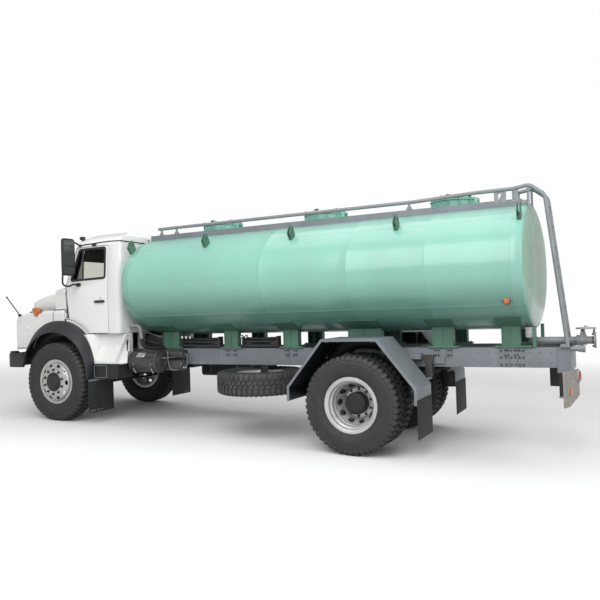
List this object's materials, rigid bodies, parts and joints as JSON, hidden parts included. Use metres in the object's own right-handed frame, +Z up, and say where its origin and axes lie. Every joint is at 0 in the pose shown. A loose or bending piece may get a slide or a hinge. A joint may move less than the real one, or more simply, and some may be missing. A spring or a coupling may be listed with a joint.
{
  "type": "tanker truck",
  "caption": "Two-axle tanker truck with a short bonnet and an oval tank, opening doors, bonnet and manhole lids, steering and rolling wheels.",
  "frame": {"origin": "middle of the truck's box on the ground", "axes": "+X towards the rear, +Y to the truck's right side, +Z up"},
  "size_m": [8.8742, 2.67, 3.279],
  "materials": {
    "white_paint": "glossy, lightly dusty",
    "mint_paint": "glossy",
    "grey_paint": "semi-gloss, dusty",
    "dark_metal": "satin, dirty",
    "iron": "rough",
    "black_plastic": "matt",
    "trim": "matt",
    "rim_paint": "silver, dusty",
    "tyre": "dusty black",
    "glass": "clear, faintly grey",
    "flap_rubber": "matt",
    "red_lens": "glossy",
    "amber_lens": "glossy"
  },
  "bodies": {
    "chassis": {"frame_rails": "grey_paint", "crossmembers": "grey_paint", "front_bumper": "dark_metal", "front_axle": "dark_metal", "leaf_springs": "dark_metal", "rear_axle": "dark_metal", "engine_block": "iron", "propshaft": "dark_metal", "nose_panel": "white_paint", "front_wings": "white_paint", "arch_flares": "black_plastic", "arch_liners": "black_plastic", "cab_shell": "white_paint", "cab_glass": "glass", "cab_interior": "trim", "cab_steps": "white_paint", "side_tanks": "grey_paint", "fuel_tank": "grey_paint", "spare_tyre": "tyre", "spare_rim": "rim_paint", "spare_carrier": "grey_paint", "tank_shell": "mint_paint", "tank_saddles": "mint_paint", "walkway": "grey_paint", "manhole_collars": "grey_paint", "handrail_ladder": "grey_paint", "outlet_pipe": "grey_paint", "outlet_handwheel": "grey_paint", "rear_fenders": "grey_paint", "mudflaps": "flap_rubber", "lamp_boards": "dark_metal", "tail_lamps": "red_lens", "front_lamps": "amber_lens", "marker_lamps": "amber_lens"},
    "knuckle_left": {"knuckle_left": "dark_metal"},
    "front_wheel_left": {"front_tyre_left": "tyre", "front_rim_left": "rim_paint"},
    "rear_wheels_left": {"rear_tyres_left": "tyre", "rear_rims_left": "rim_paint"},
    "door_left": {"door_left": "white_paint", "door_glass_left": "glass", "mirror_left": "black_plastic"},
    "knuckle_right": {"knuckle_right": "dark_metal"},
    "front_wheel_right": {"front_tyre_right": "tyre", "front_rim_right": "rim_paint"},
    "rear_wheels_right": {"rear_tyres_right": "tyre", "rear_rims_right": "rim_paint"},
    "door_right": {"door_right": "white_paint", "door_glass_right": "glass", "mirror_right": "black_plastic"},
    "tie_rod": {"tie_rod": "dark_metal"},
    "bonnet": {"bonnet": "white_paint"},
    "steering_wheel": {"steering_wheel": "black_plastic"},
    "lid_front": {"lid_front": "grey_paint"},
    "lid_middle": {"lid_middle": "grey_paint"},
    "lid_rear": {"lid_rear": "grey_paint"}
  },
  "joints": [
    {"name": "steer_left", "type": "hinge", "parent": "chassis", "child": "knuckle_left", "pos_m": [-3.24175, -0.88, 0.61], "axis": [0, 0, 1], "range_deg": [-35, 35]},
    {"name": "steer_right", "type": "hinge", "parent": "chassis", "child": "knuckle_right", "pos_m": [-3.24175, 0.88, 0.61], "axis": [0, 0, 1], "range_deg": [-35, 35]},
    {"name": "roll_front_left", "type": "hinge", "parent": "knuckle_left", "child": "front_wheel_left", "pos_m": [-3.24175, -1.042, 0.61], "axis": [0, 1, 0], "continuous": true},
    {"name": "roll_front_right", "type": "hinge", "parent": "knuckle_right", "child": "front_wheel_right", "pos_m": [-3.24175, 1.042, 0.61], "axis": [0, 1, 0], "continuous": true},
    {"name": "roll_rear_left", "type": "hinge", "parent": "chassis", "child": "rear_wheels_left", "pos_m": [1.75825, -0.915, 0.61], "axis": [0, 1, 0], "continuous": true},
    {"name": "roll_rear_right", "type": "hinge", "parent": "chassis", "child": "rear_wheels_right", "pos_m": [1.75825, 0.915, 0.61], "axis": [0, 1, 0], "continuous": true},
    {"name": "tie_rod_turn", "type": "hinge", "parent": "knuckle_left", "child": "tie_rod", "pos_m": [-3.05175, -0.88, 0.512], "axis": [0, 0, 1], "range_deg": [-35, 35]},
    {"name": "steering_wheel_turn", "type": "hinge", "parent": "chassis", "child": "steering_wheel", "pos_m": [-2.92019, -0.495, 2.00262], "axis": [0.4682, 0, 0.8836], "range_deg": [-700, 700]},
    {"name": "door_left_open", "type": "hinge", "parent": "chassis", "child": "door_left", "pos_m": [-3.21653, -1, 1.84173], "axis": [-0.0364, 0, 0.9993], "range_deg": [-70, 0]},
    {"name": "door_right_open", "type": "hinge", "parent": "chassis", "child": "door_right", "pos_m": [-3.21653, 1, 1.84173], "axis": [-0.0364, 0, 0.9993], "range_deg": [0, 70]},
    {"name": "bonnet_lift", "type": "hinge", "parent": "chassis", "child": "bonnet", "pos_m": [-3.45896, 0, 2.06906], "axis": [0, 1, 0], "range_deg": [0, 50]},
    {"name": "lid_front_open", "type": "hinge", "parent": "chassis", "child": "lid_front", "pos_m": [-0.57927, 0, 3.06447], "axis": [0, 1, 0], "range_deg": [0, 110]},
    {"name": "lid_middle_open", "type": "hinge", "parent": "chassis", "child": "lid_middle", "pos_m": [1.17957, 0, 3.1285], "axis": [0, 1, 0], "range_deg": [0, 110]},
    {"name": "lid_rear_open", "type": "hinge", "parent": "chassis", "child": "lid_rear", "pos_m": [3.02834, 0, 3.19579], "axis": [0, 1, 0], "range_deg": [0, 110]}
  ],
  "couplings": [
    {"joint": "steer_right", "follows": "steer_left", "ratio": 1},
    {"joint": "tie_rod_turn", "follows": "steer_left", "ratio": -1},
    {"joint": "steering_wheel_turn", "follows": "steer_left", "ratio": 20}
  ]
}
